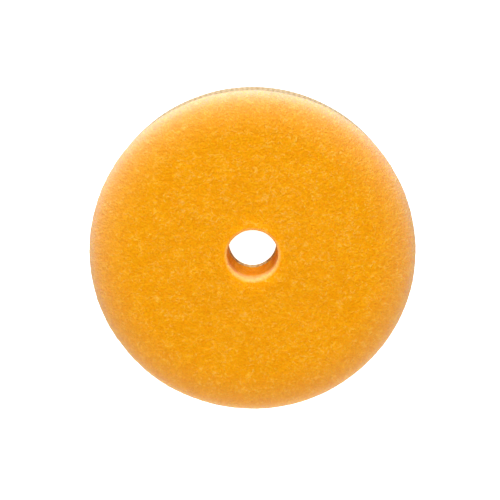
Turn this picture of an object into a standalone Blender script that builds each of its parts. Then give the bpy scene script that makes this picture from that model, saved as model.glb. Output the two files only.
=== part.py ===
"""Foam polishing pad for a dual-action polisher, 150 mm across and 30 mm thick.

The pad lies on its loop face with its working face up. Z is its axis, and the
origin is the middle of the loop face. It is a laminate of four turned layers:
the foam, the adhesive film, the knitted backing cloth and the cloth's loop pile.
A round hole runs through all four.
"""

import math

import bmesh
import bpy

# Driving dimensions, in metres
PAD_DIAMETER = 0.150         # widest, at the foot of the rounded front edge
FOAM_THICKNESS = 0.0263
EDGE_ROUND_WIDTH = 0.017     # how far in from the widest line the flat face ends
EDGE_ROUND_DEPTH = 0.008     # how far below the face the widest line lies
WALL_TAPER = 0.0030          # how much the foam's radius shrinks from there to its back
BACK_CHAMFER = 0.0006        # the foam's worn back corner
HOLE_DIAMETER = 0.023
HOLE_LIP_RADIUS = 0.0014     # the rounded lip between the face and the hole's wall
FILM_THICKNESS = 0.0004
CLOTH_THICKNESS = 0.0008
PILE_THICKNESS = 0.0016
CLOTH_PROUD = 0.0012         # the cloth's cut edge stands this far past the foam's
CLOTH_IN_HOLE = 0.0005       # and this far into the hole
FILM_SHY = 0.0004            # the film stops this far short of the foam's back edge
PILE_SHY = 0.0005            # and the pile this far short of the cloth's edge
LAYER_GAP = 0.0003           # clearance between one layer and the next

# How finely round shapes are divided
TURN_STEPS = 96
EDGE_ROUND_STEPS = 8
LIP_STEPS = 4

# Heights and radii that follow from the sizes above
CLOTH_BOTTOM = PILE_THICKNESS + LAYER_GAP
FILM_BOTTOM = CLOTH_BOTTOM + CLOTH_THICKNESS + LAYER_GAP
FOAM_BOTTOM = FILM_BOTTOM + FILM_THICKNESS + LAYER_GAP
FOAM_TOP = FOAM_BOTTOM + FOAM_THICKNESS
WIDEST_HEIGHT = FOAM_TOP - EDGE_ROUND_DEPTH
PAD_RADIUS = PAD_DIAMETER / 2
FOAM_BACK_RADIUS = PAD_RADIUS - WALL_TAPER
HOLE_RADIUS = HOLE_DIAMETER / 2

MERGE_DISTANCE = 0.00001


def clear_scene():
    """Remove every object, so that the file starts empty."""
    for item in list(bpy.data.objects):
        bpy.data.objects.remove(item, do_unlink=True)


def material(name, colour, roughness, metallic=0.0):
    """A Principled material in one colour."""
    made = bpy.data.materials.new(name)
    made.use_nodes = True
    shader = made.node_tree.nodes["Principled BSDF"]
    shader.inputs["Base Color"].default_value = (*colour, 1.0)
    shader.inputs["Roughness"].default_value = roughness
    shader.inputs["Metallic"].default_value = metallic
    made.diffuse_color = (*colour, 1.0)
    return made


def quarter(centre, radii, start, steps):
    """Points along a quarter of an ellipse, clockwise from the angle start."""
    points = []
    for step in range(steps + 1):
        angle = start - math.pi / 2 * step / steps
        points.append((
            centre[0] + radii[0] * math.cos(angle),
            centre[1] + radii[1] * math.sin(angle),
        ))
    return points


def turned(name, outline, finish, collection, parent):
    """A ring turned about Z from its section, a closed outline of (radius, height)."""
    mesh = bpy.data.meshes.new(name)
    section = bmesh.new()
    corners = [section.verts.new((radius, 0.0, height)) for radius, height in outline]
    for here, there in zip(corners, corners[1:] + corners[:1]):
        section.edges.new((here, there))
    section.to_mesh(mesh)
    section.free()
    ring = bpy.data.objects.new(name, mesh)
    collection.objects.link(ring)
    ring.parent = parent
    screw = ring.modifiers.new("turn", "SCREW")
    screw.axis = "Z"
    screw.angle = math.tau
    screw.steps = TURN_STEPS
    screw.render_steps = TURN_STEPS
    screw.use_merge_vertices = True
    screw.merge_threshold = MERGE_DISTANCE
    screw.use_smooth_shade = True
    ring.data.materials.append(finish)
    return ring


def disc_outline(outer, inner, bottom, thickness):
    """The section of a flat layer, down its rim and back up the wall of its hole."""
    top = bottom + thickness
    return [(outer, top), (outer, bottom), (inner, bottom), (inner, top)]


def foam_outline():
    """The foam's section, clockwise from where its flat face meets the front edge."""
    front_edge = quarter(
        (PAD_RADIUS - EDGE_ROUND_WIDTH, WIDEST_HEIGHT),
        (EDGE_ROUND_WIDTH, EDGE_ROUND_DEPTH),
        math.pi / 2,
        EDGE_ROUND_STEPS,
    )
    back = [
        (FOAM_BACK_RADIUS, FOAM_BOTTOM + BACK_CHAMFER),
        (FOAM_BACK_RADIUS - BACK_CHAMFER, FOAM_BOTTOM),
        (HOLE_RADIUS, FOAM_BOTTOM),
    ]
    lip = quarter(
        (HOLE_RADIUS + HOLE_LIP_RADIUS, FOAM_TOP - HOLE_LIP_RADIUS),
        (HOLE_LIP_RADIUS, HOLE_LIP_RADIUS),
        math.pi,
        LIP_STEPS,
    )
    return front_edge + back + lip


def foam_body(collection, parent):
    """The open-cell foam, the part that works the polish into the paint."""
    finish = material("orange_open_cell_foam", (0.89, 0.36, 0.02), 0.9)
    return turned("foam_body", foam_outline(), finish, collection, parent)


def adhesive_film(collection, parent):
    """The hot-melt film that bonds the cloth to the foam."""
    outline = disc_outline(
        FOAM_BACK_RADIUS - BACK_CHAMFER - FILM_SHY,
        HOLE_RADIUS + FILM_SHY,
        FILM_BOTTOM,
        FILM_THICKNESS,
    )
    finish = material("hot_melt_film", (0.80, 0.66, 0.38), 0.35)
    return turned("adhesive_film", outline, finish, collection, parent)


def backing_cloth(collection, parent):
    """The knitted ground of the loop fabric, which carries the pile."""
    outline = disc_outline(
        FOAM_BACK_RADIUS + CLOTH_PROUD,
        HOLE_RADIUS - CLOTH_IN_HOLE,
        CLOTH_BOTTOM,
        CLOTH_THICKNESS,
    )
    finish = material("cream_knitted_cloth", (0.80, 0.71, 0.50), 0.85)
    return turned("backing_cloth", outline, finish, collection, parent)


def loop_pile(collection, parent):
    """The raised loops that the hooks of a backing plate catch."""
    outline = disc_outline(
        FOAM_BACK_RADIUS + CLOTH_PROUD - PILE_SHY,
        HOLE_RADIUS - CLOTH_IN_HOLE + PILE_SHY,
        0.0,
        PILE_THICKNESS,
    )
    finish = material("cream_loop_pile", (0.84, 0.77, 0.60), 0.95)
    return turned("loop_pile", outline, finish, collection, parent)


def build():
    clear_scene()
    collection = bpy.data.collections.new("polishing_pad")
    bpy.context.scene.collection.children.link(collection)
    axis = bpy.data.objects.new("pad_axis", None)
    collection.objects.link(axis)
    foam_body(collection, axis)
    adhesive_film(collection, axis)
    backing_cloth(collection, axis)
    loop_pile(collection, axis)


build()
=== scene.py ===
# %% [markdown]
# # A foam polishing pad
# This lesson dresses a polishing pad: the orange foam disc that a car detailer presses onto a
# dual-action polisher. The solids already fix its shape and its size. Here each of its four layers
# gets the surface that the real one has: open-cell foam, a squeezed film of glue, a knitted cloth
# and the cloth's loops.
#
# The solids are loaded first, because every size below is read from them.

# %% Load the solids
import math
import random

import bpy
import numpy as np
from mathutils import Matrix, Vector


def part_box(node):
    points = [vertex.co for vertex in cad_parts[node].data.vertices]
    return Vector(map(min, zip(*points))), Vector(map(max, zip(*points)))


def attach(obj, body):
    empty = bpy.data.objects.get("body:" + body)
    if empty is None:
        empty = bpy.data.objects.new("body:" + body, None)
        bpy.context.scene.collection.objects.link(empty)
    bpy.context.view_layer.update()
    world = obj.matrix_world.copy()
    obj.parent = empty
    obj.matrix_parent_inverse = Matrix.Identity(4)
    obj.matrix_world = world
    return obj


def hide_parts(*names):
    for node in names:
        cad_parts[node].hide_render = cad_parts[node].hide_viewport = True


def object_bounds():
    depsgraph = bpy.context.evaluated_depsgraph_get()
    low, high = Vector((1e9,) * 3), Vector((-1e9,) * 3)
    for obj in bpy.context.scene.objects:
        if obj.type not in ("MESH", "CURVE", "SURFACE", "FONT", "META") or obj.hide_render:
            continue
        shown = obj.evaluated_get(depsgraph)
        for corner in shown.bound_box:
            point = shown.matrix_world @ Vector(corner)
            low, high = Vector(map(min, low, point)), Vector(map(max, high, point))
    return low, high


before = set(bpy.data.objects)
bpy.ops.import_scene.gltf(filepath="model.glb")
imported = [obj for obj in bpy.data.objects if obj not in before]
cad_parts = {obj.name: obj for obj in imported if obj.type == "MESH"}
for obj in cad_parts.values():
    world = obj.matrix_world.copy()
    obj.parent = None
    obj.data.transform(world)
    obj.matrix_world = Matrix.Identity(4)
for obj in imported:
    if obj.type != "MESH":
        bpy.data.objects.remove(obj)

solid_low, solid_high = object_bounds()
print("solids:", sorted(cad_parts))
print("whole pad, mm:", [round(1000 * side, 1) for side in solid_high - solid_low])

# %% [markdown]
# ## Measure the rings
# Every layer of the pad is a ring about Z. Its heights come from its box. A box doesn't know about
# the hole, so the radii are read from the solid's corners: each corner is turned into a distance
# from the axis and a height, and the radii are the least and the greatest of those.


# %% Read the radii and heights
SAME_HEIGHT = 0.00001        # corners this close to a height are taken to be on it


def corners_of(name):
    """Each corner of a solid, as its distance from the axis and its height."""
    places = np.array([corner.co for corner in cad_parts[name].data.vertices])
    return np.hypot(places[:, 0], places[:, 1]), places[:, 2]


def radii_of(name):
    """A ring's radius inside and outside."""
    radii, _ = corners_of(name)
    return float(radii.min()), float(radii.max())


foam_low, foam_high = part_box("foam_body")
cloth_low, cloth_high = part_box("backing_cloth")
pile_low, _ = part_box("loop_pile")
hole_radius, pad_radius = radii_of("foam_body")
foam_radii, foam_heights = corners_of("foam_body")
on_face = foam_heights > foam_high.z - SAME_HEIGHT
on_back = foam_heights < foam_low.z + SAME_HEIGHT
at_widest = foam_radii > pad_radius - SAME_HEIGHT
lip_radius = float(foam_radii[on_face].min())
face_radius = float(foam_radii[on_face].max())
back_radius = float(foam_radii[on_back].max())
widest_height = float(foam_heights[at_widest].min())
print("hole", round(2000 * hole_radius, 1), "mm, flat face out to", round(2000 * face_radius, 1), "mm")
print("widest", round(2000 * pad_radius, 1), "mm, at a height of", round(1000 * widest_height, 1), "mm")

# %% [markdown]
# ## Small tools for editing
# Editing by script needs the same care as editing by hand. A new primitive comes in selected, and
# an operator acts on everything that is selected, so the scene is deselected before each step. A
# finished piece has its place in its mesh and its object at the origin, which keeps its pattern
# where it belongs.


# %% Editing helpers
def deselect():
    """Leave object mode with nothing selected."""
    if bpy.context.object and bpy.context.object.mode != "OBJECT":
        bpy.ops.object.mode_set(mode="OBJECT")
    bpy.ops.object.select_all(action="DESELECT")


def pick(piece):
    """Select one piece alone and make it the active one."""
    deselect()
    bpy.context.view_layer.objects.active = piece
    piece.select_set(True)


def name_piece(name):
    """Name the active object and its mesh, and return it."""
    piece = bpy.context.object
    piece.name = name
    piece.data.name = name
    return piece


def settle(piece):
    """Put the piece's place and turn into its mesh."""
    pick(piece)
    bpy.ops.object.transform_apply(location=True, rotation=True, scale=True)


def finish_with(piece, kind, **settings):
    """Add a modifier and apply it at once."""
    pick(piece)
    modifier = piece.modifiers.new(kind.lower(), kind)
    for name, value in settings.items():
        setattr(modifier, name, value)
    bpy.ops.object.modifier_apply(modifier=modifier.name)


print("helpers: deselect, pick, name_piece, settle, finish_with")

# %% [markdown]
# ## A ring by hand
# All four layers are turned shapes, so one way of making a ring serves them all. By hand it goes
# like this: add a circle at the first point of the section, extrude it, move it to the next point's
# height and scale it to the next point's radius, and go on to the last point. The two ends are then
# bridged. A Screw modifier would do as well, but this way keeps a clean loop of edges at every
# point of the section.


# %% Turn a section into a ring
def lathe(name, section, around):
    """A closed ring from its section, a list of (radius, height), with so many corners around."""
    deselect()
    radius, height = section[0]
    bpy.ops.mesh.primitive_circle_add(vertices=around, radius=radius, location=(0, 0, height))
    piece = name_piece(name)
    bpy.ops.object.mode_set(mode="EDIT")
    bpy.ops.mesh.select_all(action="SELECT")
    for next_radius, next_height in section[1:]:
        rise = next_height - height
        bpy.ops.mesh.extrude_region_move(TRANSFORM_OT_translate={"value": (0, 0, rise)})
        share = next_radius / radius
        bpy.ops.transform.resize(value=(share, share, 1))
        radius, height = next_radius, next_height
    bpy.ops.mesh.select_mode(type="EDGE")
    bpy.ops.mesh.select_all(action="DESELECT")
    bpy.ops.mesh.select_non_manifold()
    bpy.ops.mesh.bridge_edge_loops()
    bpy.ops.mesh.select_all(action="SELECT")
    bpy.ops.mesh.normals_make_consistent(inside=False)
    bpy.ops.object.mode_set(mode="OBJECT")
    settle(piece)
    print(name, "has", len(piece.data.polygons), "faces as turned")
    return piece


def arc(centre, radii, start, end, steps):
    """Points along an ellipse's arc, from one angle in degrees to another."""
    points = []
    for angle in np.radians(np.linspace(start, end, steps + 1)):
        across = centre[0] + radii[0] * math.cos(angle)
        up = centre[1] + radii[1] * math.sin(angle)
        points.append((across, up))
    return points


# %% [markdown]
# ## The foam
# The pad is punched out of a thick sheet of foam. The press squeezes the foam as the die goes
# through it, and the foam springs back into walls that are a little hollow. The outer wall leans
# in towards the back. The front edge is then skived round, so that it can follow the curves of a
# car's panels, and the lip of the hole is eased so that it doesn't tear.
#
# The section below has those shapes. It goes up the hole's wall, over the lip, across the face,
# round the front edge and down the outer wall.

# %% The foam's section
WALL_HOLLOW = 0.0004         # how far a punched wall stands back at its middle
BACK_CORNER = 0.0006         # the worn corner between the outer wall and the back
WALL_STEPS = 13
LIP_STEPS = 8
FACE_STEPS = 23
EDGE_STEPS = 20
FOAM_AROUND = 240

edge_width = pad_radius - face_radius
edge_depth = foam_high.z - widest_height
lip_depth = lip_radius - hole_radius


def hollow(share):
    """How far a punched wall stands back, a share of the way up it."""
    return WALL_HOLLOW * math.sin(math.pi * share)


def hole_wall():
    """Up the wall of the hole, as far as its lip."""
    height = foam_high.z - lip_depth - foam_low.z
    shares = np.linspace(0.0, 1.0, WALL_STEPS + 1)[:-1]
    return [(hole_radius + hollow(share), foam_low.z + height * share) for share in shares]


def outer_wall():
    """Down the outer wall, leaning in, to the corner at the back."""
    foot = foam_low.z + BACK_CORNER
    height = widest_height - foot
    lean = pad_radius - back_radius - BACK_CORNER
    points = []
    for share in np.linspace(1.0, 0.0, WALL_STEPS + 1)[1:]:
        points.append((pad_radius - lean * (1 - share) - hollow(share), foot + height * share))
    return points + [(back_radius, foam_low.z)]


lip = arc((lip_radius, foam_high.z - lip_depth), (lip_depth, lip_depth), 180, 90, LIP_STEPS)
face = [(radius, foam_high.z) for radius in np.linspace(lip_radius, face_radius, FACE_STEPS + 1)]
edge = arc((face_radius, widest_height), (edge_width, edge_depth), 90, 0, EDGE_STEPS)
foam = lathe("foam_pad", hole_wall() + lip + face[1:] + edge[1:] + outer_wall(), FOAM_AROUND)

# %% [markdown]
# ## Even squares
# The turned mesh has long thin faces near the rim and tiny ones near the hole. A displacement
# needs the opposite: squares of one size all over, so that it raises the same relief on the face
# and on the walls. A voxel remesh gives those, and a few rounds of smoothing take its steps away.

# %% Remesh the foam
FOAM_SQUARE = 0.00075
SMOOTHING = 0.5
SMOOTH_ROUNDS = 3
finish_with(foam, "REMESH", mode="VOXEL", voxel_size=FOAM_SQUARE, use_smooth_shade=True)
finish_with(foam, "SMOOTH", factor=SMOOTHING, iterations=SMOOTH_ROUNDS)
print("foam after the remesh:", len(foam.data.polygons), "faces")

# %% [markdown]
# ## The foam's relief
# Foam is never flat. Its cut surface rolls a little over a couple of centimetres, and over two or
# three millimetres the cell walls clump into tufts. Both are pushed along the surface's own
# normals, so they show on the outline as well as on the face. The cells themselves are about half
# a millimetre across. A mesh that fine would be enormous, so they are left to the material.

# %% Roll and tufts
RELIEF = (                   # name, size, height, and how many finer layers of noise it has
    ("roll", 0.022, 0.0005, 1),
    ("tufts", 0.0024, 0.00032, 3),
)


def push(piece, name, size, height, layers=0):
    """Push a piece's surface in and out by a cloud pattern of one size and height."""
    pattern = bpy.data.textures.new(name, "CLOUDS")
    pattern.noise_scale = size
    pattern.noise_depth = layers
    finish_with(
        piece, "DISPLACE",
        texture=pattern, texture_coords="LOCAL", strength=height, mid_level=0.5,
    )


for relief in RELIEF:
    push(foam, *relief)
print("foam relief, mm:", [(name, 1000 * height) for name, size, height, layers in RELIEF])

# %% [markdown]
# ## The glue
# A hot-melt film is laid between the cloth and the foam and pressed with heat. It melts into both,
# and what shows of it is a thin amber line that the press has squeezed out unevenly. So it fills
# the whole gap between the two, and a slow noise pushes its rim in and out.

# %% The film
GLUE_RINGS = 6
FLAT_AROUND = 360
SQUEEZE_SIZE = 0.006         # the glue's waves, and how far they go in and out
SQUEEZE_HEIGHT = 0.0002


def flat_section(inner, outer, low, high, rings):
    """A flat layer's section: out over its top, down its rim and back under it."""
    top = [(radius, high) for radius in np.linspace(inner, outer, rings)]
    bottom = [(radius, low) for radius in np.linspace(outer, inner, rings)]
    return top + bottom


film_inner, film_outer = radii_of("adhesive_film")
film = lathe(
    "glue_film",
    flat_section(film_inner, film_outer, cloth_high.z, foam_low.z, GLUE_RINGS),
    FLAT_AROUND,
)
push(film, "squeeze", SQUEEZE_SIZE, SQUEEZE_HEIGHT)

# %% [markdown]
# ## The cloth
# The loops need something to stand on: a warp-knitted ground, which is cut a little larger than
# the foam's back. It lies flat against the glue, so it is modelled flat. Its cut edge isn't a
# perfect circle, because a knit pulls in here and lets go there, and a small push in and out
# gives it that.

# %% The ground of the cloth
CLOTH_RINGS = 40
PULL_SIZE = 0.009            # the knit's pull, and how far it goes in and out
PULL_HEIGHT = 0.0002

cloth_inner, cloth_outer = radii_of("backing_cloth")
cloth = lathe(
    "backing_cloth_knit",
    flat_section(cloth_inner, cloth_outer, cloth_low.z, cloth_high.z, CLOTH_RINGS),
    FLAT_AROUND,
)
push(cloth, "pull", PULL_SIZE, PULL_HEIGHT)

# %% [markdown]
# ## One loop
# The cloth's back is covered with loops of yarn, which the hooks on the machine's plate catch. A
# real loop is about half a millimetre wide. Loops that small would melt into a flat grey, so these
# are drawn three times as coarse, and there are fewer of them.
#
# One loop is a torus stood on edge with its foot cut away. It has few faces, because it is about to
# be repeated thousands of times.

# %% Model the loop
LOOP_WIDTH = 0.0017
YARN = 0.00044
LOOP_STEPS = 10
YARN_STEPS = 4
FOOT_CUT = 0.00025           # the height, over the torus's middle, where the loop enters the cloth
LOOP_STRETCH = 1.35          # a loop is taller than it is wide

deselect()
bpy.ops.mesh.primitive_torus_add(
    major_radius=LOOP_WIDTH / 2,
    minor_radius=YARN / 2,
    major_segments=LOOP_STEPS,
    minor_segments=YARN_STEPS,
    rotation=(math.radians(90), 0, 0),
)
loop = name_piece("one_loop")
settle(loop)
bpy.ops.object.mode_set(mode="EDIT")
bpy.ops.mesh.select_all(action="SELECT")
bpy.ops.mesh.bisect(plane_co=(0, 0, FOOT_CUT), plane_no=(0, 0, 1), clear_outer=True)
bpy.ops.mesh.select_all(action="SELECT")
bpy.ops.transform.resize(value=(1, 1, LOOP_STRETCH))
bpy.ops.object.mode_set(mode="OBJECT")
loop_places = np.array([corner.co for corner in loop.data.vertices])
loop_places[:, 2] -= loop_places[:, 2].max()
loop_height = float(np.ptp(loop_places[:, 2]))
loop_faces = [list(side.vertices) for side in loop.data.polygons]
bpy.data.objects.remove(loop)
print("one loop:", len(loop_faces), "faces,", round(1000 * loop_height, 2), "mm high")

# %% [markdown]
# ## Every loop
# A warp knit puts its loops in rows called wales, and each row is half a step out from the next.
# Brushing then leans every loop its own way. So the loops are set out on the knit's grid, each
# with a shift, a turn, a lean and a height of its own, from a seeded source that gives the same
# cloth each time.

# %% Set the loops out
WALE = 0.0024                # from one row of loops to the next
COURSE = 0.0022              # from one loop to the next along a row
SHIFT = 0.25                 # how far a loop strays, as a share of a step
TURN = 50                    # the most a loop turns and leans, in degrees
LEAN = 35
SHORTEST = 0.80              # the shortest loop, as a share of the pile's height

chance = random.Random(7)
pile_inner, pile_outer = radii_of("loop_pile")
inner_limit = pile_inner + LOOP_WIDTH / 2
outer_limit = pile_outer - LOOP_WIDTH / 2
pile_height = cloth_low.z - pile_low.z


def brushed_loop(x, y):
    """The corners of one loop at its place in the knit, turned, leaned and stretched by chance."""
    turn = math.radians(chance.uniform(-TURN, TURN))
    lean = math.radians(chance.uniform(-LEAN, LEAN))
    stretch = chance.uniform(SHORTEST, 1.0) * pile_height / loop_height
    across = loop_places[:, 0]
    up = loop_places[:, 2] * stretch
    side = loop_places[:, 1] - up * math.sin(lean)
    return np.stack([
        x + across * math.cos(turn) - side * math.sin(turn),
        y + across * math.sin(turn) + side * math.cos(turn),
        cloth_low.z + up * math.cos(lean),
    ], axis=1)


places = []
faces = []
rows = int(outer_limit / WALE)
steps_along = int(outer_limit / COURSE)
for row in range(-rows, rows + 1):
    for step in range(-steps_along, steps_along + 1):
        x = (row + chance.uniform(-SHIFT, SHIFT)) * WALE
        y = (step + 0.5 * (row % 2) + chance.uniform(-SHIFT, SHIFT)) * COURSE
        if not inner_limit < math.hypot(x, y) < outer_limit:
            continue
        first = len(places) * len(loop_places)
        places.append(brushed_loop(x, y))
        faces += [[first + corner for corner in side] for side in loop_faces]

pile_mesh = bpy.data.meshes.new("loop_pile_yarn")
pile_mesh.from_pydata(np.concatenate(places).tolist(), [], faces)
pile_mesh.shade_smooth()
pile = bpy.data.objects.new("loop_pile_yarn", pile_mesh)
bpy.context.scene.collection.objects.link(pile)
print("loops:", len(places), "with", len(faces), "faces in all")

# %% [markdown]
# ## Small tools for finishes
# A finish is a tree of nodes. Three helpers keep each tree readable: one turns the colour code that
# a painter would pick on screen into the linear light that the renderer works in, one adds any node
# with its settings and its links, and one starts a material. Every pattern below reads Object
# coordinates, which are metres here, so a noise of scale 1 / 0.002 has features 2 mm apart.


# %% Material helpers
def linear(code):
    """An sRGB hex colour as linear red, green, blue and alpha."""
    parts = [int(code[at:at + 2], 16) / 255 for at in (1, 3, 5)]
    light = [part / 12.92 if part <= 0.04045 else ((part + 0.055) / 1.055) ** 2.4 for part in parts]
    return (*light, 1.0)


def add(tree, kind, settings=None, inputs=None):
    """Add a node, set its properties, and set or link its inputs."""
    made = tree.nodes.new(kind)
    for name, value in (settings or {}).items():
        setattr(made, name, value)
    for name, value in (inputs or {}).items():
        if isinstance(value, bpy.types.NodeSocket):
            tree.links.new(value, made.inputs[name])
        else:
            made.inputs[name].default_value = value
    return made


def new_material(name):
    """A material, its node tree, its Principled shader and its Object coordinates."""
    material = bpy.data.materials.new(name)
    material.use_nodes = True
    tree = material.node_tree
    shader = tree.nodes["Principled BSDF"]
    place = add(tree, "ShaderNodeTexCoord").outputs["Object"]
    return material, tree, shader, place


print("helpers: linear, add, new_material")

# %% [markdown]
# ## Foam: its mottle
# The foam is dyed through, but it doesn't look one colour. Where the cell walls clump, light goes
# in and comes back deeper; where they stand up, it comes straight back and looks yellower. Clumps
# of about 6 mm and tufts of 2 to 3 mm are added together, and a ramp turns the sum into three close
# oranges.

# %% Foam mottle
TUFT = 0.0024
CLUMP = 0.0062
CLUMP_WEIGHT = 0.50          # how much the clumps count, against the tufts
DEEP, PLAIN, LIGHT = "#F09800", "#F6A204", "#FFB127"
foam_finish, tree, shader, place = new_material("open_cell_polyurethane_foam")
tufts = add(tree, "ShaderNodeTexNoise", inputs={
    "Vector": place, "Scale": 1 / TUFT, "Detail": 3.0, "Roughness": 0.62, "Distortion": 1.6,
}).outputs["Fac"]
clumps = add(tree, "ShaderNodeTexNoise", inputs={
    "Vector": place, "Scale": 1 / CLUMP, "Detail": 4.0, "Roughness": 0.7, "Distortion": 0.6,
}).outputs["Fac"]
weighed = add(tree, "ShaderNodeMath", {"operation": "MULTIPLY_ADD"}, {
    0: clumps, 1: CLUMP_WEIGHT, 2: tufts,
}).outputs["Value"]
mottle = add(tree, "ShaderNodeMath", {"operation": "MULTIPLY"}, {
    0: weighed, 1: 1 / (1 + CLUMP_WEIGHT),
}).outputs["Value"]
oranges = add(tree, "ShaderNodeValToRGB", inputs={"Fac": mottle})
stops = oranges.color_ramp.elements
stops[0].position, stops[0].color = 0.40, linear(DEEP)
stops[1].position, stops[1].color = 0.67, linear(LIGHT)
stops.new(0.55).color = linear(PLAIN)
print("mottle:", 1000 * TUFT, "and", 1000 * CLUMP, "mm, in", DEEP, PLAIN, LIGHT)

# %% [markdown]
# ## Foam: its strands
# Looked at closely, the surface has pale wandering strands a few millimetres long. They are cell
# walls that the blade left standing in a line. A noise has such lines in it for free: they are the
# places where its value is exactly one half. The distance from one half becomes a thin line, and
# the tufts break the lines into short pieces.

# %% Foam strands
STRAND = 0.0040
STRAND_WIDTH = 0.045         # how far from one half the noise may be and still be in the line
STRAND_SHARE = 0.30          # how far a strand is mixed towards its pale colour
BREAK_LOW, BREAK_HIGH = 0.45, 0.62       # the tufts' values between which a strand comes in
STRAND_PALE = "#FFD070"
wander = add(tree, "ShaderNodeTexNoise", inputs={
    "Vector": place, "Scale": 1 / STRAND, "Detail": 2.0, "Roughness": 0.6, "Distortion": 0.8,
}).outputs["Fac"]
past_half = add(tree, "ShaderNodeMath", {"operation": "SUBTRACT"}, {0: wander, 1: 0.5})
from_line = add(tree, "ShaderNodeMath", {"operation": "ABSOLUTE"}, {0: past_half.outputs["Value"]})
line = add(tree, "ShaderNodeMapRange", inputs={
    "Value": from_line.outputs["Value"],
    "From Min": 0.0, "From Max": STRAND_WIDTH, "To Min": 1.0, "To Max": 0.0,
}).outputs["Result"]
broken = add(tree, "ShaderNodeMapRange", inputs={
    "Value": tufts,
    "From Min": BREAK_LOW, "From Max": BREAK_HIGH, "To Min": 0.0, "To Max": STRAND_SHARE,
}).outputs["Result"]
pale_share = add(tree, "ShaderNodeMath", {"operation": "MULTIPLY"}, {0: line, 1: broken})
stranded = add(tree, "ShaderNodeMix", {"data_type": "RGBA"}, {
    "Factor": pale_share.outputs["Value"], "A": oranges.outputs["Color"], "B": linear(STRAND_PALE),
}).outputs[2]
print("strands:", 1000 * STRAND, "mm apart")

# %% [markdown]
# ## Foam: pores and patches
# Each open cell is a small pit, and its colour is painted with shade in its middle and lighter at its
# rim. A Voronoi pattern is a good likeness of cells, because its distance grows from the middle of each
# cell to its walls. Real cells are about half a millimetre, which is too fine to show at this size, so
# they are drawn at 1 mm. A last slow noise over 14 mm makes patches a hair darker or lighter, as a
# foamed block has.

# %% Foam pores and patches
CELL = 0.0010
CELL_MIDDLE, CELL_WALL = 0.1, 0.7        # the distances taken as a cell's middle and its walls
PIT_SHADE_TONE, PIT_RIM_TONE = 0.93, 1.02       # and the tones there: painted shade in the middle of a pit, lighter at its rim
PATCH = 0.014
PATCH_LOW, PATCH_HIGH = 0.3, 0.7         # the noise's values for the darkest and lightest patch
PATCH_DARK, PATCH_LIGHT = 0.985, 1.01    # and the tones there
cells = add(tree, "ShaderNodeTexVoronoi", {"feature": "F1"}, {
    "Vector": place, "Scale": 1 / CELL, "Randomness": 1.0,
}).outputs["Distance"]
painted_pit_shade = add(tree, "ShaderNodeMapRange", inputs={
    "Value": cells,
    "From Min": CELL_MIDDLE, "From Max": CELL_WALL, "To Min": PIT_SHADE_TONE, "To Max": PIT_RIM_TONE,
}).outputs["Result"]
slow = add(tree, "ShaderNodeTexNoise", inputs={"Vector": place, "Scale": 1 / PATCH, "Detail": 2.0})
patches = add(tree, "ShaderNodeMapRange", inputs={
    "Value": slow.outputs["Fac"],
    "From Min": PATCH_LOW, "From Max": PATCH_HIGH, "To Min": PATCH_DARK, "To Max": PATCH_LIGHT,
}).outputs["Result"]
tone = add(tree, "ShaderNodeMath", {"operation": "MULTIPLY"}, {0: patches, 1: painted_pit_shade})
dyed = add(tree, "ShaderNodeVectorMath", {"operation": "SCALE"}, {
    0: stranded, "Scale": tone.outputs["Value"],
}).outputs["Vector"]
print("cells:", 1000 * CELL, "mm")

# %% [markdown]
# ## Foam: painted sheen at the edge
# The skived edge is painted paler than the face. The paleness is painted sheen, standing in for the
# white light that the rounded edge catches. How pale it is depends on the distance from the axis, by a
# short curve that stays at nothing over most of the face and climbs over the last few millimetres.

# %% Foam painted sheen at the edge
SHEEN_START = 0.74            # the share of the pad's radius where the painted sheen starts
SHEEN_BY_SHARE = (            # share of the radius, and how strong the painted sheen is there
    (0.0, 0.0), (SHEEN_START, 0.0), (0.90, 0.045), (0.95, 0.11), (0.975, 0.20), (1.0, 0.29),
)

across = add(tree, "ShaderNodeVectorMath", {"operation": "MULTIPLY"}, {0: place, 1: (1, 1, 0)})
from_axis = add(tree, "ShaderNodeVectorMath", {"operation": "LENGTH"}, {
    0: across.outputs["Vector"],
}).outputs["Value"]
out_share = add(tree, "ShaderNodeMath", {"operation": "DIVIDE"}, {0: from_axis, 1: pad_radius})
sheen_curve = add(tree, "ShaderNodeFloatCurve", inputs={"Value": out_share.outputs["Value"]})
curve = sheen_curve.mapping.curves[0]
curve.points[0].location = SHEEN_BY_SHARE[0]
curve.points[1].location = SHEEN_BY_SHARE[-1]
for point in SHEEN_BY_SHARE[1:-1]:
    curve.points.new(*point)
sheen_curve.mapping.update()
print("torn edge from", round(1000 * SHEEN_START * pad_radius, 1), "mm out")

# %% [markdown]
# ## Foam: where the painted sheen fades
# Down the punched wall the painted sheen fades again, and a little of it is left lower down. The eased
# lip of the hole has a faint painted highlight, for light from above, near the face and near the hole's
# wall alone.
# The two are added, and the sum says how far the orange is mixed towards a warm white.

# %% Foam painted sheen down the wall and painted highlight at the lip
# the warm white of the painted sheen and the painted highlight
SHEEN_WHITE = "#FFF6E4"
SHEEN_FADE = 0.007            # how far down the wall the painted sheen fades
SHEEN_LEFT = 0.12             # and how much of it is left there
LIP_HIGHLIGHT = 0.13              # how strong the painted highlight on the lip of the hole is
LIP_START, LIP_END = 0.0004, 0.0020      # from the hole's wall outwards
LIP_TOP, LIP_FOOT = 0.006, 0.013         # below the face, where the lip's painted highlight fades

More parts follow.
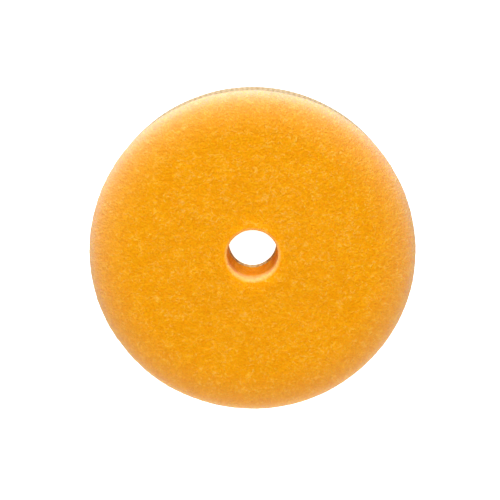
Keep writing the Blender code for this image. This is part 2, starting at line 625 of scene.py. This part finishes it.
height = add(tree, "ShaderNodeSeparateXYZ", inputs={"Vector": place}).outputs["Z"]
down_wall = add(tree, "ShaderNodeMapRange", {"interpolation_type": "SMOOTHSTEP"}, {
    "Value": height,
    "From Min": widest_height - SHEEN_FADE, "From Max": widest_height,
    "To Min": SHEEN_LEFT, "To Max": 1.0,
})
edge_sheen = add(tree, "ShaderNodeMath", {"operation": "MULTIPLY"}, {
    0: sheen_curve.outputs["Value"], 1: down_wall.outputs["Result"],
})
near_face = add(tree, "ShaderNodeMapRange", {"interpolation_type": "SMOOTHSTEP"}, {
    "Value": height,
    "From Min": foam_high.z - LIP_FOOT, "From Max": foam_high.z - LIP_TOP,
    "To Min": 0.0, "To Max": LIP_HIGHLIGHT,
})
near_hole = add(tree, "ShaderNodeMapRange", {"interpolation_type": "SMOOTHSTEP"}, {
    "Value": from_axis,
    "From Min": hole_radius + LIP_START, "From Max": hole_radius + LIP_END,
    "To Min": 1.0, "To Max": 0.0,
})
lip_highlight = add(tree, "ShaderNodeMath", {"operation": "MULTIPLY"}, {
    0: near_face.outputs["Result"], 1: near_hole.outputs["Result"],
})
painted_sheen = add(tree, "ShaderNodeMath", {"operation": "ADD"}, {
    0: edge_sheen.outputs["Value"], 1: lip_highlight.outputs["Value"],
})
# The painted sheen and the lip's painted highlight mix the orange towards a warm white.
with_painted_sheen = add(tree, "ShaderNodeMix", {"data_type": "RGBA"}, {
    "Factor": painted_sheen.outputs["Value"], "A": dyed, "B": linear(SHEEN_WHITE),
})
tree.links.new(with_painted_sheen.outputs[2], shader.inputs["Base Color"])
# how far down the wall the painted sheen fades
print("tearing fades", 1000 * SHEEN_FADE, "mm down the wall")

# %% [markdown]
# ## Foam: depth and gloss
# The tufts and the cells are raised a little by a bump, so that side light catches them. Foam has
# almost no gloss: each cell wall is shiny, but they face every way, so the specular level is very
# low and what is left is rough. Light also soaks into foam and comes out warmer a few millimetres
# away, which is what subsurface scattering does. Red goes furthest, then green, and blue hardly at
# all.

# %% Foam depth and gloss
CELL_RISE = 0.5              # how much the cells rise, against the tufts
relief = add(tree, "ShaderNodeMath", {"operation": "MULTIPLY_ADD"}, {
    0: cells, 1: CELL_RISE, 2: tufts,
})
bump = add(tree, "ShaderNodeBump", inputs={
    "Strength": 0.7, "Distance": 0.0007, "Height": relief.outputs["Value"],
})
tree.links.new(bump.outputs["Normal"], shader.inputs["Normal"])
shader.inputs["Roughness"].default_value = 0.6
shader.inputs["Specular IOR Level"].default_value = 0.05
shader.inputs["Subsurface Weight"].default_value = 0.4
shader.inputs["Subsurface Radius"].default_value = (1.0, 0.6, 0.1)
shader.inputs["Subsurface Scale"].default_value = 0.003
print("foam finish:", len(tree.nodes), "nodes")

# %% [markdown]
# ## Hot-melt glue
# The film is an amber resin that has soaked into the foam in some places and stands proud in
# others. It is the one layer with a visible shine, so its roughness is lower than the rest, and
# its colour goes from honey where it is thick to straw where it is thin.

# %% Glue finish
glue_finish, tree, shader, place = new_material("hot_melt_film")
BLOTCH = 0.004
thickness = add(tree, "ShaderNodeTexNoise", inputs={
    "Vector": place, "Scale": 1 / BLOTCH, "Detail": 2.0,
})
amber = add(tree, "ShaderNodeValToRGB", inputs={"Fac": thickness.outputs["Fac"]})
amber.color_ramp.elements[0].color = linear("#C99A4C")
amber.color_ramp.elements[1].color = linear("#E9CD8E")
tree.links.new(amber.outputs["Color"], shader.inputs["Base Color"])
shader.inputs["Roughness"].default_value = 0.4
shader.inputs["IOR"].default_value = 1.49
print("glue finish:", len(tree.nodes), "nodes")

# %% [markdown]
# ## Knitted polyester
# The ground of the cloth is ribbed, one rib to each row of loops. A Wave pattern gives the ribs at
# the knit's own spacing, and a fine noise over them gives the fuzz of loose fibres. Ribs and fuzz
# set both the colour and the bump. The colour is painted with shade: darker in the hollows, and a
# darker cream than the loops all over, for the loops' shade on it. Fibres that stand up catch light at
# a grazing angle, which is the sheen.

# %% Knit finish
WAVE_TURN = 20               # a Wave pattern turns by 20 radians for each unit of its scale
FUZZ = 0.0009
RIB_WEIGHT = 0.4
knit_finish, tree, shader, place = new_material("warp_knitted_polyester")
ribs = add(tree, "ShaderNodeTexWave", {"bands_direction": "X"}, {
    "Vector": place, "Scale": math.tau / (WAVE_TURN * WALE), "Distortion": 1.0, "Detail": 2.0,
}).outputs["Fac"]
fuzz = add(tree, "ShaderNodeTexNoise", inputs={
    "Vector": place, "Scale": 1 / FUZZ, "Detail": 3.0,
}).outputs["Fac"]
knit = add(tree, "ShaderNodeMath", {"operation": "MULTIPLY_ADD"}, {
    0: ribs, 1: RIB_WEIGHT, 2: fuzz,
}).outputs["Value"]
# The darker end of this ramp is painted shade, in the rib hollows and under the loops.
cream_with_painted_shade = add(tree, "ShaderNodeValToRGB", inputs={"Fac": knit})
cream_with_painted_shade.color_ramp.elements[0].color = linear("#B9A86E")
cream_with_painted_shade.color_ramp.elements[1].color = linear("#E4DAAE")
tree.links.new(cream_with_painted_shade.outputs["Color"], shader.inputs["Base Color"])
bump = add(tree, "ShaderNodeBump", inputs={"Strength": 0.8, "Distance": 0.0003, "Height": knit})
tree.links.new(bump.outputs["Normal"], shader.inputs["Normal"])
shader.inputs["Roughness"].default_value = 0.85
shader.inputs["Sheen Weight"].default_value = 0.4
print("knit finish:", len(tree.nodes), "nodes")

# %% [markdown]
# ## Brushed loops
# The loops are the same polyester, left undyed and brushed. Their colour is painted lighter than the
# ground's, a painted light for loops that stand in the light while the ground lies in their shade. The
# colour drifts a little from one handful of loops to the next, and the tips are a touch yellower from
# handling.

# %% Loop finish
DRIFT = 0.003
HANDLED_SHARE = 0.25         # how far the tips are yellowed
yarn_finish, tree, shader, place = new_material("brushed_polyester_loops")
drift = add(tree, "ShaderNodeTexNoise", inputs={
    "Vector": place, "Scale": 1 / DRIFT, "Detail": 3.0,
})
# This ramp is lighter than the ground's as painted light on loops that stand in the light.
undyed_with_painted_light = add(tree, "ShaderNodeValToRGB", inputs={"Fac": drift.outputs["Fac"]})
stops = undyed_with_painted_light.color_ramp.elements
stops[0].position, stops[0].color = 0.3, linear("#E9DDBB")
stops[1].position, stops[1].color = 0.7, linear("#FBF5E4")
height = add(tree, "ShaderNodeSeparateXYZ", inputs={"Vector": place}).outputs["Z"]
handled = add(tree, "ShaderNodeMapRange", inputs={
    "Value": height,
    "From Min": pile_low.z, "From Max": cloth_low.z, "To Min": HANDLED_SHARE, "To Max": 0.0,
})
yarn = add(tree, "ShaderNodeMix", {"data_type": "RGBA"}, {
    "Factor": handled.outputs["Result"], "A": undyed_with_painted_light.outputs["Color"], "B": linear("#E4D2A0"),
})
tree.links.new(yarn.outputs[2], shader.inputs["Base Color"])
shader.inputs["Roughness"].default_value = 0.7
shader.inputs["Sheen Weight"].default_value = 0.5
print("loop finish:", len(tree.nodes), "nodes")

# %% [markdown]
# ## Tie each piece to its solid
# The pieces are shown in place of the solids. Nothing in a foam pad moves against anything else,
# so all four ride on the one body. Each takes the place of its solid and has its own finish in a
# material slot, so that someone who reuses the pad can still repaint one layer.

# %% Ride, replace and slot
PIECES = (
    (foam, "foam_body", "foam", foam_finish),
    (film, "adhesive_film", "adhesive", glue_finish),
    (cloth, "backing_cloth", "cloth", knit_finish),
    (pile, "loop_pile", "loops", yarn_finish),
)
for piece, solid, slot, finish in PIECES:
    piece.data.materials.clear()
    piece.data.materials.append(finish)
    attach(piece, "root")
    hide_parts(solid)
    print(piece.name, "replaces", solid)

# %% [markdown]
# ## What is soft
# The foam is a pad that is filled right to its skin. The cloth is a sheet cut as a ring and laid
# flat against the foam, and the loops go with it, because they are knitted into it.

# %% [markdown]
# ## Camera
# A pad shows best from almost straight down its axis, so that the face is close to a circle, with
# just enough lean to look through the hole and past the rim. The camera stands well back and has a
# long lens, so that the disc isn't stretched. The lens follows from the distance and from how much
# of the view the pad takes up.

# %% Camera
PAD_IN_VIEW = 0.650          # the pad's share of the view's width
CAMERA_DISTANCE = 1.3
CAMERA_TILT = math.radians(13.0)
CAMERA_ASIDE = 0.00115       # small shifts that put the pad where it belongs in the view
CAMERA_FORWARD = 0.0009
SENSOR_WIDTH = 36.0          # in millimetres, as the camera takes it

centre = (solid_low + solid_high) / 2
view_width = 2 * pad_radius / PAD_IN_VIEW
camera_data = bpy.data.cameras.new("camera")
camera_data.sensor_width = SENSOR_WIDTH
camera_data.lens = SENSOR_WIDTH * CAMERA_DISTANCE / view_width
camera = bpy.data.objects.new("camera", camera_data)
camera.location = (
    centre.x + CAMERA_ASIDE,
    centre.y + CAMERA_FORWARD - CAMERA_DISTANCE * math.sin(CAMERA_TILT),
    centre.z + CAMERA_DISTANCE * math.cos(CAMERA_TILT),
)
camera.rotation_euler = (-CAMERA_TILT, 0, math.pi)
bpy.context.scene.collection.objects.link(camera)
bpy.context.scene.camera = camera
print("lens:", round(camera_data.lens), "mm")

# %% [markdown]
# ## Lights
# Most of the light is a soft white room. A softbox low on the near side rakes across the face and
# lights the near edge. It is as blue as daylight, which turns the painted sheen on the foam's edge
# there almost white, where a neutral light would leave it yellow. A wider, weaker one on the far side
# keeps that edge from going dull. A third stands below the table's level and rakes across the loops,
# for anyone who turns the pad over. All three are soft, so they leave no hard shadow.


# %% Softboxes
LIGHT_DISTANCE = 0.9
DAYLIGHT = (0.80, 0.98, 1.45)
NEUTRAL = (1, 1, 1)
SOFTBOXES = (                # name, azimuth, elevation, width, height, power and colour
    ("key", 8, 19, 0.5, 0.36, 8.0, DAYLIGHT),
    ("fill", 190, 17, 0.8, 0.3, 2.2, NEUTRAL),
    ("under", 165, -38, 0.5, 0.3, 1.4, NEUTRAL),
)


def at(azimuth, elevation):
    """A place for a light: azimuth 0 is the near side, and elevation is above the table."""
    turn = math.radians(azimuth)
    rise = math.radians(elevation)
    return (
        centre.x + LIGHT_DISTANCE * math.sin(turn) * math.cos(rise),
        centre.y - LIGHT_DISTANCE * math.cos(turn) * math.cos(rise),
        centre.z + LIGHT_DISTANCE * math.sin(rise),
    )


def hang(name, data, azimuth, elevation):
    """Put a light at its place and turn it to the pad."""
    lamp = bpy.data.objects.new(name, data)
    lamp.location = at(azimuth, elevation)
    lamp.rotation_euler = (centre - lamp.location).to_track_quat("-Z", "Y").to_euler()
    bpy.context.scene.collection.objects.link(lamp)
    return lamp


def softbox(name, azimuth, elevation, width, height, power, colour):
    """A rectangular light that faces the pad."""
    data = bpy.data.lights.new(name, "AREA")
    data.color = colour
    data.shape = "RECTANGLE"
    data.size = width
    data.size_y = height
    data.energy = power
    return hang(name, data, azimuth, elevation)


key, fill, under = [softbox(*settings) for settings in SOFTBOXES]
fill.visible_glossy = False
under.visible_glossy = False
print("softboxes:", key.name, fill.name, under.name)

# %% [markdown]
# ## A light for the hole
# The hole is as deep as it is wide, so the room hardly reaches its wall, yet real foam glows there,
# because light soaks through it from the face. A narrow spot does that job here. It is aimed
# through the mouth of the hole and is slimmer than the hole, so it touches the wall alone.

# %% Spot through the hole
SNOOT_ELEVATION = 54         # steep enough to reach the lower half of the wall
SNOOT_ANGLE = 1.0            # degrees, which is about 16 mm across at the pad
SNOOT_POWER = 50.0
snoot_data = bpy.data.lights.new("snoot", "SPOT")
snoot_data.energy = SNOOT_POWER
snoot_data.spot_size = math.radians(SNOOT_ANGLE)
snoot_data.spot_blend = 0.6
snoot_data.shadow_soft_size = 0.01
snoot = hang("snoot", snoot_data, 0, SNOOT_ELEVATION)
snoot.location.z += foam_high.z - centre.z
snoot.visible_glossy = False
print("spot:", round(1000 * LIGHT_DISTANCE * math.radians(SNOOT_ANGLE), 1), "mm across at the pad")

# %% [markdown]
# ## The room
# The world is an even white. It lights the pad from all sides but is hidden from reflections,
# because a foam that mirrors a white room looks chalky. The Standard view keeps the orange as
# strong as it is set, where a filmic one would wash it out.

# %% Room
ROOM_LIGHT = 0.77
world = bpy.data.worlds.new("studio")
bpy.context.scene.world = world
world.use_nodes = True
background = world.node_tree.nodes["Background"]
background.inputs["Color"].default_value = (1, 1, 1, 1)
background.inputs["Strength"].default_value = ROOM_LIGHT
world.cycles_visibility.glossy = False
bpy.context.scene.view_settings.view_transform = "Standard"
print("room light:", ROOM_LIGHT)

# %% [markdown]
# ## The table
# The pad lies on a white light table, a sheet of opal acrylic that glows evenly, so no shadow shows.
# The glow is for the eye alone: it is kept off the pad, which would otherwise look lit from below.
# The sheet is also one-way. From under it, it is clear, so that the loops can be looked at.

# %% Table
TABLE_SIZE = 8.0
deselect()
bpy.ops.mesh.primitive_plane_add(size=TABLE_SIZE, location=(0, 0, 0))
table = name_piece("light_table")
table_finish, tree, shader, place = new_material("opal_acrylic_sheet")
shader.inputs["Base Color"].default_value = linear("#F4F4F2")
shader.inputs["Roughness"].default_value = 0.6
shader.inputs["Emission Color"].default_value = (1, 1, 1, 1)
shader.inputs["Emission Strength"].default_value = 1.0
from_below = add(tree, "ShaderNodeNewGeometry").outputs["Backfacing"]
clear = add(tree, "ShaderNodeBsdfTransparent").outputs["BSDF"]
one_way = add(tree, "ShaderNodeMixShader", inputs={0: from_below, 1: shader.outputs["BSDF"], 2: clear})
tree.links.new(one_way.outputs["Shader"], tree.nodes["Material Output"].inputs["Surface"])
table.data.materials.append(table_finish)
table.visible_glossy = False
table.visible_diffuse = False
table.visible_shadow = False
print("table:", TABLE_SIZE, "m across")
